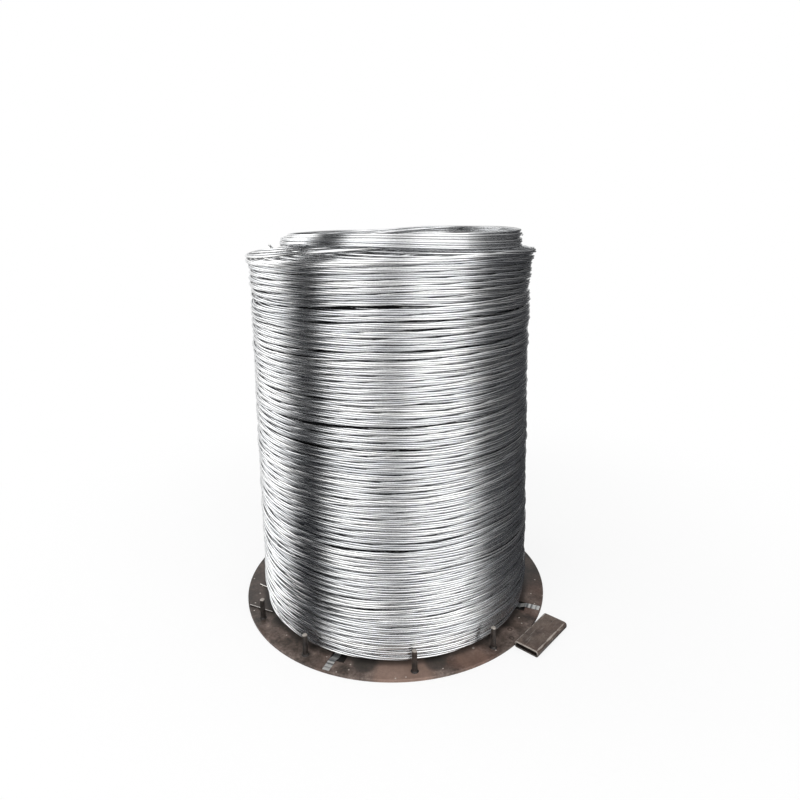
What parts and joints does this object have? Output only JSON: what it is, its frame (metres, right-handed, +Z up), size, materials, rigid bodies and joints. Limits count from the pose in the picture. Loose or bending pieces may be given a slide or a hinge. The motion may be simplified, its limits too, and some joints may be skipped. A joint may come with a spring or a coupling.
{
  "type": "upright coil of stainless steel wire on a take-up plate",
  "caption": "Tall upright coil of bright stainless steel wire with an open bore and a narrower ring of turns on top, standing on a round steel plate with upright pegs and strapping bands.",
  "frame": {"origin": "centre of the round plate's underside, on the coil's axis", "axes": "+Z up the coil's axis, -Y towards the front, where the flattened tube is at the right"},
  "size_m": [0.9271, 0.915, 1.094],
  "materials": {
    "stainless_wire": "bright drawn, satin",
    "plate_steel": "brown mill scale, worn and oily",
    "peg_steel": "dark scaled bar",
    "tube_steel": "scaled, scuffed, with a bright cut end",
    "strap_steel": "zinc bright, rubbed",
    "tie_wire": "bright drawn"
  },
  "bodies": {
    "root": {"wire_coil": "stainless_wire", "base_plate": "plate_steel", "rim_tube": "tube_steel", "peg_1": "peg_steel", "peg_2": "peg_steel", "peg_3": "peg_steel", "peg_4": "peg_steel", "peg_5": "peg_steel", "peg_6": "peg_steel", "peg_7": "peg_steel", "peg_8": "peg_steel", "strap_1": "strap_steel", "strap_2": "strap_steel", "strap_3": "strap_steel", "strap_4": "strap_steel", "tie_wire_1": "tie_wire", "tie_wire_2": "tie_wire"}
  },
  "joints": []
}
